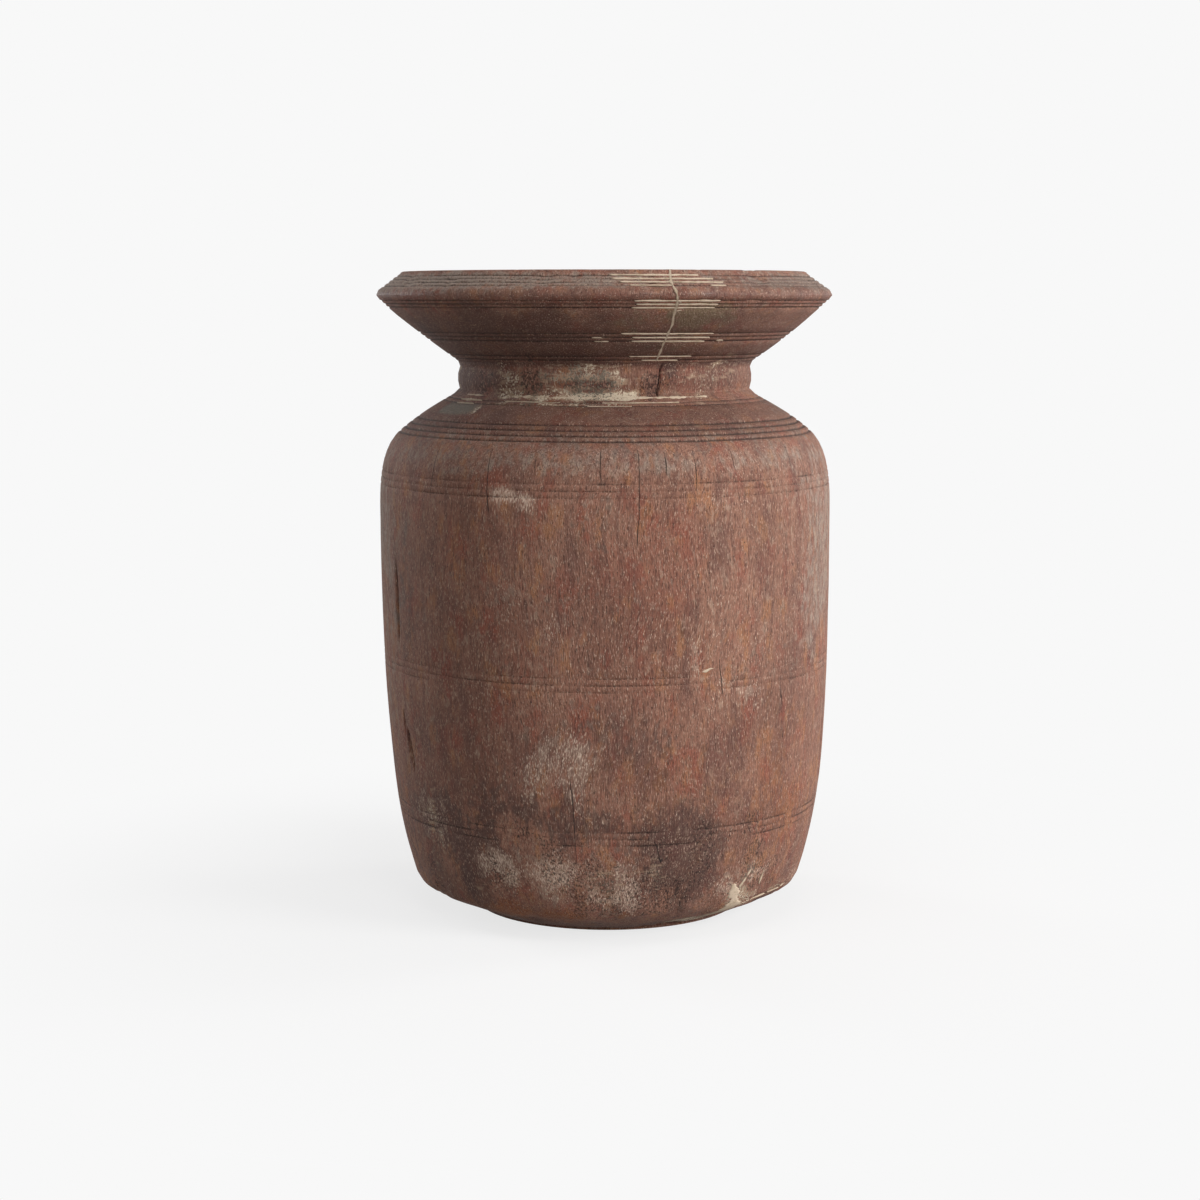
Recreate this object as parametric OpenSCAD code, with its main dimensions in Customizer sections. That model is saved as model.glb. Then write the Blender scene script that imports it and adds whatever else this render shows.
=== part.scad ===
// Old storage vessel turned from one hardwood log: a barrel body, a short neck
// and a wide flared rim with a bevelled lip. Bands of turned grooves run round it,
// and a split rim and a chipped base were mended with cream putty.
// Millimetres. The axis is Z, the foot stands on Z = 0 and the front faces -Y.

/* [Foot and base] */
// Radius of the foot disc
foot_r = 84; // [70:0.5:86]
// Height of the foot disc
foot_h = 2.5; // [1:0.1:5]
// Width of the flat step round the foot
foot_step = 4; // [1:0.5:8]
// Depth of the shallow dish turned under the foot
foot_dish = 2; // [0.5:0.1:4]
// Width of the ring that the foot stands on
foot_ring_w = 18; // [10:1:40]
// Rise of the slope from the foot to the base corner
base_rise = 14.4; // [8:0.1:24]
// Radius of the body at the base corner
base_corner_r = 121.3; // [112:0.1:128]
// How far the rounding of the base corner reaches
base_corner_round = 6; // [2:0.5:12]

/* [Barrel] */
// Height of the lower taper, from the base corner up
taper_h = 78; // [50:1:120]
// Radius of the barrel where the lower taper ends
taper_r = 137.2; // [133:0.1:141]
// Height of the upper barrel, from the taper to the shoulder
barrel_h = 163; // [100:1:240]
// Largest radius of the barrel
belly_r = 142.1; // [139:0.1:148]

/* [Shoulder] */
// Height of the round turn of the shoulder
turn_h = 42; // [34:1:54]
// Radius of the shoulder where the round turn ends
turn_r = 131.5; // [125:0.1:136]
// Height of the sloping upper shoulder
slope_h = 25; // [18:0.5:34]
// Radius where the shoulder meets the neck
slope_r = 95; // [93:0.1:102]

/* [Neck] */
// Radius of the neck in the hollows above and below its bead
neck_r = 91; // [88:0.1:92.5]
// Height of the neck, with both hollows and the bead
neck_h = 21; // [16:0.5:30]
// Height of each hollow of the neck
hollow_h = 3.6; // [2:0.1:5]
// How far the bead stands out from the hollows
bead_out = 1.3; // [0.4:0.1:1.5]
// Radius of the bore through the neck
bore_r = 74; // [60:0.5:78]
// Length of the straight bore through the neck
bore_len = 24; // [16:0.5:26]

/* [Rim] */
// Height of the flare, from the neck to the rim's nose
flare_h = 36.4; // [28:0.1:48]
// Radius at the top of the flare
flare_r = 138.9; // [132:0.1:140]
// How far the flare bows outwards
flare_bow = 0.9; // [0:0.1:4]
// Largest radius of the rim, at its nose
rim_r = 142.8; // [141:0.1:150]
// Height of the rounded nose
nose_h = 7.8; // [5:0.1:11]
// Height of the bevel above the nose
bevel_h = 9.8; // [7:0.1:14]
// Radius of the lip at the top of the bevel
lip_r = 127.2; // [124:0.1:132]
// Rounding of the lip's outer and inner edges
lip_round = 1.2; // [0.6:0.1:1.5]
// Inner radius of the mouth
mouth_r = 120.5; // [112:0.5:121]
// Radius of the bend in the funnel inside the rim
funnel_bend_r = 112; // [104:0.5:114]
// Height of that bend above the bore
funnel_bend_h = 19; // [14:0.5:24]

/* [Hollow] */
// Thickness of the barrel wall
wall = 14; // [10:0.5:20]
// Thickness of the floor above the foot
floor_t = 26; // [20:0.5:40]
// Radius of the flat of the floor
floor_r = 92; // [70:1:100]
// Thickness of the wood over the inner shoulder
shoulder_t = 14; // [10:0.5:17]

/* [Turned grooves] */
// Radius of the round bottomed grooves
groove_r = 0.8; // [0.5:0.05:1]
// Spacing of the grooves on the bevel
bevel_pitch = 2; // [2:0.05:2.3]
// Number of grooves on the bevel
bevel_count = 4; // [2:1:4]
// Spacing of the grooves under the nose
edge_pitch = 2; // [2:0.05:2.4]
// Number of grooves under the nose
edge_count = 3; // [2:1:4]
// Spacing of the grooves half way up the flare
flare_pitch = 2.1; // [2:0.05:2.4]
// Number of grooves half way up the flare
flare_count = 3; // [2:1:4]
// Spacing of the grooves at the foot of the flare
flare_foot_pitch = 2.1; // [2:0.05:2.4]
// Number of grooves at the foot of the flare
flare_foot_count = 2; // [2:1:3]
// Spacing of the grooves on the shoulder beside the neck
neck_foot_pitch = 1.9; // [1.8:0.05:2.2]
// Number of grooves on the shoulder beside the neck
neck_foot_count = 2; // [2:1:3]
// Spacing of the grooves round the shoulder
shoulder_pitch = 3; // [2:0.05:3.2]
// Number of grooves round the shoulder
shoulder_count = 4; // [2:1:4]
// Spacing of the grooves in the three bands round the barrel
barrel_pitch = 4.1; // [3:0.05:5]
// Number of grooves in each barrel band
barrel_count = 3; // [2:1:4]
// Height of the lowest barrel band above the base corner
low_band_z = 46.5; // [30:0.5:60]
// Height of the middle barrel band above the base corner
middle_band_z = 139.5; // [90:0.5:180]
// Height of the top barrel band above the end of the barrel
top_band_z = 12; // [4:0.5:20]

/* [Mended split] */
// Direction of the split in the rim, in degrees right of the front
split_angle = 18; // [5:0.5:35]
// Width of the split at the lip
split_w = 2.2; // [1.4:0.1:3]
// Width of the split at the neck
split_foot_w = 1.4; // [1:0.1:2]
// How far the split wanders to each side
split_wander = 2; // [0.5:0.1:3]
// How far the putty in the grooves reaches, in degrees from the split
putty_reach = 12; // [6:0.5:16]
// How far the putty at the foot of the neck reaches, in degrees from the front
neck_putty_reach = 38; // [20:1:50]

/* [Drying checks and wear] */
// Depth of the open check that runs down the neck below the split
neck_check_depth = 7; // [2:0.5:12]
// Width of that check
neck_check_w = 1.2; // [0.8:0.1:2]
// Width of the checks and gouges in the barrel
barrel_check_w = 2; // [1:0.1:3]
// Depth of the checks and gouges in the barrel
barrel_check_depth = 3; // [1:0.5:6]
// Direction of the pared flat on the shoulder, in degrees left of the front
flat_angle = 57; // [45:1:80]
// Depth of the pared flat
flat_depth = 1; // [0.5:0.1:1.5]
// Length of the pared flat, down the slope of the shoulder
flat_len = 12; // [6:0.5:13]

/* [Chipped base] */
// Direction of the chip in the base corner, in degrees right of the front
chip_angle = 49; // [35:1:60]
// Depth of the chip, in from the base corner
chip_depth = 3.5; // [2:0.1:5]
// Tilt of the chip's flat break from upright
chip_tilt = 42; // [32:1:52]
// Direction of the small nick in the base, in degrees right of the front
nick_angle = 28; // [20:1:30]
// Radius of the small nick
nick_r = 4; // [2:0.5:6]

/* [Hidden] */
$fn = 180;

// Points on a curve from a to b that is pulled towards c, without a itself
function curve(a, c, b, n = 8) =
  [for (i = [1:n]) let(t = i / n) (1 - t) ^ 2 * a + 2 * t * (1 - t) * c + t ^ 2 * b];
// The point on the way from a to b that lies a distance d from a
function toward(a, b, d) = a + (b - a) * d / norm(b - a);

// Heights of the outline's corners, from the foot up
corner_z = foot_h + base_rise;
taper_z = corner_z + taper_h;
barrel_z = taper_z + barrel_h;
turn_z = barrel_z + turn_h;
slope_z = turn_z + slope_h;
neck_z = slope_z + neck_h;
flare_z = neck_z + flare_h;
nose_z = flare_z + nose_h;
lip_z = nose_z + bevel_h;
top_z = lip_z + lip_round;

// Corners of the outline, as radius and height
step_at = [foot_r + foot_step, foot_h];
corner_at = [base_corner_r, corner_z];
taper_at = [taper_r, taper_z];
belly_at = [belly_r, barrel_z];
turn_at = [turn_r, turn_z];
slope_at = [slope_r, slope_z];
flare_foot_at = [neck_r + 1.6, neck_z];
flare_at = [flare_r, flare_z];
nose_at = [flare_r + 1.9, nose_z];
lip_at = [lip_r, lip_z];

// Points that the curved stretches are pulled towards
taper_pull = [taper_r - 3.4, taper_z - 0.51 * taper_h];
belly_pull = [belly_r, taper_z + 0.35 * barrel_h];
turn_pull = [belly_r, turn_z - 0.27 * turn_h];
slope_pull = [turn_r - 9.5, turn_z + 0.4 * slope_h];
flare_pull = (flare_foot_at + flare_at) / 2 + flare_bow * [0.65, -1.9];
nose_pull = [2 * rim_r - (nose_at[0] + flare_at[0]) / 2, flare_z + 0.62 * nose_h];
bead_pull = [neck_r + 2 * bead_out, (slope_z + neck_z) / 2];

// The outside, from the foot's edge to the lip, rising all the way
outside = concat(
  [[foot_r, 0], [foot_r + 0.4, foot_h - 0.3], step_at],
  [toward(corner_at, step_at, base_corner_round)],
  curve(toward(corner_at, step_at, base_corner_round), corner_at,
        toward(corner_at, taper_pull, base_corner_round), 5),
  curve(toward(corner_at, taper_pull, base_corner_round), taper_pull, taper_at),
  curve(taper_at, belly_pull, belly_at),
  curve(belly_at, turn_pull, turn_at),
  curve(turn_at, slope_pull, slope_at),
  [[neck_r, slope_z + hollow_h]],
  curve([neck_r, slope_z + hollow_h], bead_pull, [neck_r, neck_z - hollow_h]),
  [flare_foot_at],
  curve(flare_foot_at, flare_pull, flare_at),
  curve(flare_at, nose_pull, nose_at),
  [lip_at]
);
// Radius of the outside at height z
outside_zr = [for (p = outside) [p[1], p[0]]];
function outside_r(z) = lookup(z, outside_zr);

// The inside, from the mouth down to the middle of the floor
bore_top_z = (slope_z + neck_z) / 2 + bore_len / 2 - 1;
bore_low_z = bore_top_z - bore_len;
inner_barrel_at = [belly_r - wall, barrel_z - 4];
inner_shoulder_pull = [belly_r - wall - 4, turn_z + slope_h - shoulder_t - 4];
inner_taper_at = [taper_r - wall, taper_z];
inner_taper_pull = [taper_r - wall - 3, taper_z - taper_h / 2];
floor_at = [floor_r, foot_h + floor_t];
inside = concat(
  curve(lip_at, [lip_r - 0.2, top_z], [lip_r - 2, top_z], 3),
  curve([mouth_r + 1.6, top_z], [mouth_r, top_z], [mouth_r, top_z - 1.6], 3),
  curve([mouth_r, top_z - 1.6], [funnel_bend_r, bore_top_z + funnel_bend_h],
        [bore_r, bore_top_z]),
  [[bore_r, bore_low_z]],
  curve([bore_r, bore_low_z], inner_shoulder_pull, inner_barrel_at),
  [inner_taper_at],
  curve(inner_taper_at, inner_taper_pull, floor_at),
  [[0, foot_h + floor_t]]
);
// The dish under the foot
underside = [[0, foot_dish], [foot_r - foot_ring_w, 0]];

// Heights of the grooves in each band
function band(first, pitch, count) = [for (i = [0:count - 1]) first + i * pitch];
bevel_grooves = band(nose_z + 1.2, bevel_pitch, bevel_count);
edge_grooves = band(flare_z + 0.6 - edge_pitch * (edge_count - 1), edge_pitch, edge_count);
flare_grooves = band(neck_z + 14, flare_pitch, flare_count);
flare_foot_grooves = band(neck_z + 3.2, flare_foot_pitch, flare_foot_count);
neck_foot_grooves = band(slope_z - 1.4 - neck_foot_pitch * (neck_foot_count - 1),
                         neck_foot_pitch, neck_foot_count);
shoulder_grooves = band(turn_z + 2.3, shoulder_pitch, shoulder_count);
top_band = band(barrel_z + top_band_z, barrel_pitch, barrel_count);
middle_band = band(corner_z + middle_band_z, barrel_pitch, barrel_count);
low_band = band(corner_z + low_band_z, barrel_pitch, barrel_count);
all_grooves = concat(bevel_grooves, edge_grooves, flare_grooves, flare_foot_grooves,
                     neck_foot_grooves, shoulder_grooves, top_band, middle_band, low_band);

// Centre line of the split, as wander to the side and share of the rim's height
split_line = [[0.9, 0], [0.5, 0.2], [0.3, 0.45], [0.2, 0.64], [-0.9, 0.8], [-0.3, 0.95], [0, 1.1]];
split_low_z = neck_z + 1;
split_points = [for (p = split_line)
  [p[0] * split_wander, split_low_z + p[1] * (top_z - split_low_z)]];
// Centre line of the open check below it, from the neck's foot up
neck_check_points = [[split_wander * 0.9 + 2.2, slope_z + 0.5], [split_wander * 0.9 + 1.8, slope_z + 9],
                     [split_wander * 0.9, slope_z + 13], [split_wander * 0.9, split_low_z - 0.4]];
// Checks in the barrel: direction from the front, then points to the side and up
barrel_checks = [
  [-64, [[0.6, taper_z + 83], [0, taper_z + 104], [-0.4, taper_z + 128]]],
  [-62, [[5, taper_z + 4], [1, taper_z + 27], [-4, taper_z + 37]]],
  [77, [[0.5, taper_z + 2], [0, taper_z + 14], [-0.5, taper_z + 27]]]
];

// The stretch of the shoulder's slope that was pared flat
flat_low_z = slope_z - 9.5;
flat_foot_at = [outside_r(flat_low_z), flat_low_z];
flat_head_at = [outside_r(flat_low_z + 6), flat_low_z + 6];
flat_tilt = atan2(flat_head_at[1] - flat_foot_at[1], flat_foot_at[0] - flat_head_at[0]);

wood = [0.42, 0.29, 0.24];
putty = [0.72, 0.64, 0.52];

// Half section of the turned log before its grooves are cut
module section() {
  polygon(concat(underside, outside, inside));
}

// Round cutter marks at the heights in a list
module marks(heights) {
  for (z = heights) translate([outside_r(z), z]) circle(r = groove_r);
}

// The wood that fills the outline, solid up to the hollow
module turned_blank() {
  rotate_extrude() section();
}

// A slot along a line of points, cut into the wall from from_r outwards
module wall_slot(angle, points, low_w, high_w, from_r) {
  last = len(points) - 1;
  function half(i) = (low_w + (high_w - low_w) * i / last) / 2;
  left = [for (i = [0:last]) points[i] - [half(i), 0]];
  right = [for (i = [last:-1:0]) points[i] + [half(i), 0]];
  rotate([0, 0, angle])
    translate([0, -from_r, 0])
      rotate([90, 0, 0])
        linear_extrude(rim_r) polygon(concat(left, right));
}

// The split that runs right through the wall of the rim
module split_slot() {
  wall_slot(split_angle, split_points, split_foot_w, split_w, bore_r / 2);
}

// The open checks in the neck and the barrel, which close towards their upper ends
module open_checks() {
  wall_slot(split_angle, neck_check_points, neck_check_w / 2, neck_check_w,
            neck_r - neck_check_depth);
  for (c = barrel_checks)
    wall_slot(c[0], c[1], barrel_check_w, barrel_check_w / 3, taper_r - barrel_check_depth);
}

// The block that pares a flat on the slope of the shoulder
module shoulder_flat() {
  block_w = belly_r;
  rotate([0, 0, -flat_angle])
    translate([0, -(flat_foot_at[0] + flat_head_at[0]) / 2, (flat_foot_at[1] + flat_head_at[1]) / 2])
      rotate([flat_tilt, 0, 0])
        translate([-block_w / 2, -flat_len / 2, -flat_depth])
          cube([block_w, flat_len, 4 * flat_depth]);
}

// The flat break across the base corner, as a block laid against it
module chip_break() {
  block = 2 * base_corner_r;
  rotate([0, 0, chip_angle])
    translate([0, -base_corner_r, corner_z])
      rotate([chip_tilt, 0, 0])
        translate([0, chip_depth - block / 2, 0])
          cube([block, block, block / 2], center = true);
}

// The small nick in the slope under the base corner
module nick() {
  rotate([0, 0, nick_angle])
    translate([0, -foot_r - foot_step - 11, foot_h + 3.8])
      sphere(r = nick_r);
}

// Putty in a band of grooves, from one direction to another
module groove_putty(heights, from, to) {
  color(putty) difference() {
    rotate([0, 0, from - 90]) rotate_extrude(angle = to - from) intersection() {
      section();
      marks(heights);
    }
    split_slot();
  }
}

module jar_body() {
  color(wood) difference() {
    rotate_extrude() difference() {
      section();
      marks(all_grooves);
    }
    split_slot();
    open_checks();
    shoulder_flat();
    chip_break();
    nick();
  }
}

module rim_crack_putty() {
  color(putty) intersection() {
    turned_blank();
    split_slot();
  }
}

module bevel_groove_putty() {
  groove_putty(bevel_grooves, split_angle - putty_reach, split_angle + putty_reach);
}

module edge_groove_putty() {
  groove_putty(edge_grooves, split_angle - putty_reach, split_angle + putty_reach);
}

module flare_groove_putty() {
  groove_putty(flare_grooves, split_angle - putty_reach, split_angle + putty_reach);
}

module flare_foot_putty() {
  groove_putty(flare_foot_grooves, split_angle - putty_reach / 2, split_angle + putty_reach);
}

module neck_foot_putty() {
  color(putty) rotate([0, 0, -neck_putty_reach - 90])
    rotate_extrude(angle = 2 * neck_putty_reach) intersection() {
      section();
      marks(neck_foot_grooves);
    }
}

module base_chip_putty() {
  color(putty) intersection() {
    turned_blank();
    chip_break();
  }
}

module base_nick_putty() {
  color(putty) intersection() {
    turned_blank();
    nick();
  }
}

jar_body();
rim_crack_putty();
bevel_groove_putty();
edge_groove_putty();
flare_groove_putty();
flare_foot_putty();
neck_foot_putty();
base_chip_putty();
base_nick_putty();
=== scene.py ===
"""Dress of an old storage jar that was turned from one hardwood log.

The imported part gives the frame. The wood is laid out again over the same outline as one
closed grid, so that worn grooves, drying checks, chips and weathering can follow the log.
The putty of its mends lies on it in separate deposits. Sizes are in millimetres and
angles in degrees, with angle 0 at the front (-Y) and positive to the right.
"""

import logging
from dataclasses import dataclass, field
from enum import Enum

import bpy
import numpy as np
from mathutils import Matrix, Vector


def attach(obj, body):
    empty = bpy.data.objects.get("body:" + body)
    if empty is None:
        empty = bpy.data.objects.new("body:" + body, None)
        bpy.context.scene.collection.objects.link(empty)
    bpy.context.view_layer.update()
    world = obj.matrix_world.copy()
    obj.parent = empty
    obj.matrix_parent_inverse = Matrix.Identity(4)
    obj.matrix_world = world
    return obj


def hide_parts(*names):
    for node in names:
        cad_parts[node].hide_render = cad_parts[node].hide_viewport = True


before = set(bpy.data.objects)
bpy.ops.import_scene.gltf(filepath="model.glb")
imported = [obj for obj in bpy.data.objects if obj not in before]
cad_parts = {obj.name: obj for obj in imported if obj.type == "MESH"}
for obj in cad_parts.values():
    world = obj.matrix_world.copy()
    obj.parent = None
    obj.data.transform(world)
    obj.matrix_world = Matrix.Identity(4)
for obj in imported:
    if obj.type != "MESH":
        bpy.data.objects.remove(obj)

MM = 0.001
LOG = logging.getLogger("storage_jar")


def colour(hex_code: str) -> tuple[float, float, float, float]:
    """Turns an sRGB hex colour into linear red, green, blue and alpha.

    Args:
        hex_code: Six hex digits, such as "8f6a5a".

    Returns:
        The linear colour with alpha 1.
    """
    srgb = np.array([int(hex_code[i:i + 2], 16) for i in (0, 2, 4)]) / 255
    linear = np.where(srgb <= 0.04045, srgb / 12.92, ((srgb + 0.055) / 1.055) ** 2.4)
    return (*linear.tolist(), 1.0)


def rise(value: np.ndarray, low: float, high: float) -> np.ndarray:
    """Smooth step: 0 at low, 1 at high, with a cubic 3t^2 - 2t^3 between them."""
    share = np.clip((value - low) / (high - low), 0, 1)
    return share * share * (3 - 2 * share)


def window(value: np.ndarray, low: float, high: float, blend: float) -> np.ndarray:
    """1 between low and high, falling smoothly to 0 over blend outside them."""
    return rise(value, low - blend, low) * (1 - rise(value, high, high + blend))


def lattice_noise(points: np.ndarray, seed: int) -> np.ndarray:
    """Value noise: random numbers on the whole-number lattice, blended with a cubic.

    Args:
        points: Array whose last axis is x, y, z in lattice cells.
        seed: Picks another set of random numbers.

    Returns:
        Values from 0 to 1, one per point.
    """
    cell = np.floor(points).astype(np.int64)
    share = points - cell
    share = share * share * (3 - 2 * share)
    total = np.zeros(points.shape[:-1])
    for corner in np.ndindex(2, 2, 2):
        node = cell + np.array(corner)
        mixed = node @ np.array([73856093, 19349663, 83492791]) + seed * 2654435761
        mixed = ((mixed ^ (mixed >> 15)) * 2246822519) & 0xFFFFFFFF
        mixed = ((mixed ^ (mixed >> 13)) * 3266489917) & 0xFFFFFFFF
        value = ((mixed ^ (mixed >> 16)) & 0xFFFF) / 65535
        total += value * np.where(np.array(corner) == 1, share, 1 - share).prod(axis=-1)
    return total


def cloud(points: np.ndarray, size: float, seed: int, octaves: int = 3) -> np.ndarray:
    """Fractal sum of lattice noise, each octave half as big and half as strong.

    Args:
        points: Places in millimetres, last axis x, y, z.
        size: Width of the largest blobs in millimetres.
        seed: Picks another pattern.
        octaves: How many sizes are summed.

    Returns:
        Values from -1 to 1, mostly within 0.5 of 0.
    """
    total = sum(0.5 ** i * (lattice_noise(points * 2 ** i / size, seed + i) - 0.5)
                for i in range(octaves))
    return 2 * total / (2 - 0.5 ** (octaves - 1))


def bow(start: np.ndarray, pull: np.ndarray, end: np.ndarray, steps: int = 12) -> np.ndarray:
    """Points on a quadratic curve from start to end drawn towards pull, without start."""
    share = (np.arange(1, steps + 1) / steps)[:, None]
    return (1 - share) ** 2 * start + 2 * share * (1 - share) * pull + share ** 2 * end


def toward(start: np.ndarray, end: np.ndarray, distance: float) -> np.ndarray:
    """The point on the way from start to end that lies distance from start."""
    return start + (end - start) * distance / np.linalg.norm(end - start)


@dataclass
class LogOutline:
    """Half section of the turned log, in radius and height, walked by its arc length.

    It starts on the axis under the foot, climbs the outside, turns over the lip and
    comes down the inside to the middle of the floor.
    """

    foot_r: float = 84
    foot_h: float = 2.5
    foot_step: float = 4
    foot_dish: float = 2
    foot_ring_w: float = 18
    base_rise: float = 14.4
    base_corner_r: float = 121.3
    base_corner_round: float = 6
    taper_h: float = 78
    taper_r: float = 137.2
    barrel_h: float = 163
    belly_r: float = 142.1
    turn_h: float = 42
    turn_r: float = 131.5
    slope_h: float = 25
    slope_r: float = 95
    neck_r: float = 91
    neck_h: float = 21
    hollow_h: float = 3.6
    bead_out: float = 1.3
    bore_r: float = 74
    bore_len: float = 24
    flare_h: float = 36.4
    flare_r: float = 138.9
    flare_bow: float = 0.9
    rim_r: float = 142.8
    nose_h: float = 7.8
    bevel_h: float = 9.8
    lip_r: float = 127.2
    lip_round: float = 1.2
    mouth_r: float = 120.5
    funnel_bend_r: float = 112
    funnel_bend_h: float = 19
    wall: float = 14
    floor_t: float = 26
    floor_r: float = 92
    shoulder_t: float = 14
    lean_heights: tuple[float, ...] = (0, 100, 140, 200, 280, 330, 350, 365, 376, 386, 401)
    lean_right: tuple[float, ...] = (1.9, 1.9, 1.3, 0.6, 0, 0.4, 1.1, 0.8, 0, 0, -0.4)

    def __post_init__(self) -> None:
        """Works out the heights of the corners and the arc length along the section."""
        self.corner_z = self.foot_h + self.base_rise
        self.taper_z = self.corner_z + self.taper_h
        self.barrel_z = self.taper_z + self.barrel_h
        self.turn_z = self.barrel_z + self.turn_h
        self.slope_z = self.turn_z + self.slope_h
        self.neck_z = self.slope_z + self.neck_h
        self.flare_z = self.neck_z + self.flare_h
        self.nose_z = self.flare_z + self.nose_h
        self.lip_z = self.nose_z + self.bevel_h
        self.top_z = self.lip_z + self.lip_round
        stretches = {**self._outside(), **self._inside()}
        self.points = np.vstack([[[0, self.foot_dish]], *stretches.values()])
        steps = np.linalg.norm(np.diff(self.points, axis=0), axis=1)
        self.lengths = np.concatenate([[0], np.cumsum(steps)])
        ends = np.cumsum([len(s) for s in stretches.values()])
        self.marks = dict(zip(stretches, self.lengths[ends]))

    def _outside(self) -> dict[str, np.ndarray]:
        """Stretches of the underside and the outside, each ending at a corner."""
        corner = np.array([self.base_corner_r, self.corner_z])
        step = np.array([self.foot_r + self.foot_step, self.foot_h])
        taper = np.array([self.taper_r, self.taper_z])
        taper_pull = np.array([self.taper_r - 3.4, self.taper_z - 0.51 * self.taper_h])
        belly = np.array([self.belly_r, self.barrel_z])
        belly_pull = np.array([self.belly_r, self.taper_z + 0.35 * self.barrel_h])
        turn = np.array([self.turn_r, self.turn_z])
        turn_pull = np.array([self.belly_r, self.turn_z - 0.27 * self.turn_h])
        slope = np.array([self.slope_r, self.slope_z])
        slope_pull = np.array([self.turn_r - 9.5, self.turn_z + 0.4 * self.slope_h])
        low_hollow = np.array([self.neck_r, self.slope_z + self.hollow_h])
        high_hollow = np.array([self.neck_r, self.neck_z - self.hollow_h])
        bead_pull = np.array([self.neck_r + 2 * self.bead_out, (self.slope_z + self.neck_z) / 2])
        foot = np.array([self.neck_r + 1.6, self.neck_z])
        flare = np.array([self.flare_r, self.flare_z])
        flare_pull = (foot + flare) / 2 + self.flare_bow * np.array([0.65, -1.9])
        nose = np.array([self.flare_r + 1.9, self.nose_z])
        nose_pull = np.array([2 * self.rim_r - (nose[0] + flare[0]) / 2,
                              self.flare_z + 0.62 * self.nose_h])
        before = toward(corner, step, self.base_corner_round)
        after = toward(corner, taper_pull, self.base_corner_round)
        return {
            "dish": np.array([[self.foot_r - self.foot_ring_w, 0]]),
            "foot": np.array([[self.foot_r, 0]]),
            "foot_side": np.array([[self.foot_r + 0.4, self.foot_h - 0.3]]),
            "step": step[None],
            "base_slope": before[None],
            "base_corner": bow(before, corner, after, 6),
            "taper": bow(after, taper_pull, taper),
            "barrel": bow(taper, belly_pull, belly),
            "turn": bow(belly, turn_pull, turn),
            "slope": bow(turn, slope_pull, slope),
            "low_hollow": low_hollow[None],
            "bead": bow(low_hollow, bead_pull, high_hollow),
            "flare_foot": foot[None],
            "flare": bow(foot, flare_pull, flare),
            "nose": bow(flare, nose_pull, nose, 8),
            "bevel": np.array([[self.lip_r, self.lip_z]]),
        }

    def _inside(self) -> dict[str, np.ndarray]:
        """Stretches of the lip, the funnel and the hollow, down to the floor's middle."""
        bore_top = (self.slope_z + self.neck_z) / 2 + self.bore_len / 2 - 1
        bore_low = bore_top - self.bore_len
        lip = np.array([self.lip_r, self.lip_z])
        lip_in = np.array([self.lip_r - 2, self.top_z])
        mouth = np.array([self.mouth_r + 1.6, self.top_z])
        mouth_low = np.array([self.mouth_r, self.top_z - 1.6])
        bore = np.array([self.bore_r, bore_top])
        bore_end = np.array([self.bore_r, bore_low])
        barrel = np.array([self.belly_r - self.wall, self.barrel_z - 4])
        shoulder_pull = np.array([self.belly_r - self.wall - 4,
                                  self.turn_z + self.slope_h - self.shoulder_t - 4])
        taper = np.array([self.taper_r - self.wall, self.taper_z])
        taper_pull = np.array([self.taper_r - self.wall - 3, self.taper_z - self.taper_h / 2])
        floor = np.array([self.floor_r, self.foot_h + self.floor_t])
        return {
            "lip": bow(lip, np.array([self.lip_r - 0.2, self.top_z]), lip_in, 4),
            "top": mouth[None],
            "mouth": bow(mouth, np.array([self.mouth_r, self.top_z]), mouth_low, 4),
            "funnel": bow(mouth_low, np.array([self.funnel_bend_r,
                                               bore_top + self.funnel_bend_h]), bore),
            "bore": bore_end[None],
            "inner_shoulder": bow(bore_end, shoulder_pull, barrel),
            "inner_barrel": taper[None],
            "inner_taper": bow(taper, taper_pull, floor),
            "floor": np.array([[0, self.foot_h + self.floor_t]]),
        }

    def length_at(self, height: np.ndarray | float) -> np.ndarray:
        """Arc length of the place on the outside at a height."""
        first, last = (np.searchsorted(self.lengths, self.marks[k]) for k in ("foot", "bevel"))
        return np.interp(height, self.points[first:last + 1, 1], self.lengths[first:last + 1])

    def height(self, length: np.ndarray) -> np.ndarray:
        """Height of the section at an arc length."""
        return np.interp(length, self.lengths, self.points[:, 1])

    def radius(self, length: np.ndarray) -> np.ndarray:
        """Radius of the section at an arc length."""
        return np.interp(length, self.lengths, self.points[:, 0])

    def place(self, angle: np.ndarray, length: np.ndarray, lift: np.ndarray | float = 0
              ) -> np.ndarray:
        """Places on the surface, moved out along its normal.

        The section point (r, z) moves by lift along (dz, -dr), its normal, and is then
        turned to x = r sin(angle) + lean(z), y = -r cos(angle). The log dried crooked: its
        foot stands a little to the right of its shoulder.

        Args:
            angle: Degrees right of the front.
            length: Arc length along the section.
            lift: Distance out of the wood.

        Returns:
            Places in millimetres, with x, y, z on the last axis.
        """
        along = 0.7
        out_r = self.height(length + along) - self.height(length - along)
        out_z = self.radius(length - along) - self.radius(length + along)
        size = np.maximum(np.hypot(out_r, out_z), 1e-6)
        r = self.radius(length) + lift * out_r / size
        z = self.height(length) + lift * out_z / size
        turn = np.radians(angle)
        x = r * np.sin(turn) + np.interp(z, self.lean_heights, self.lean_right)
        return np.stack(np.broadcast_arrays(x, -r * np.cos(turn), z), axis=-1)

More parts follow.
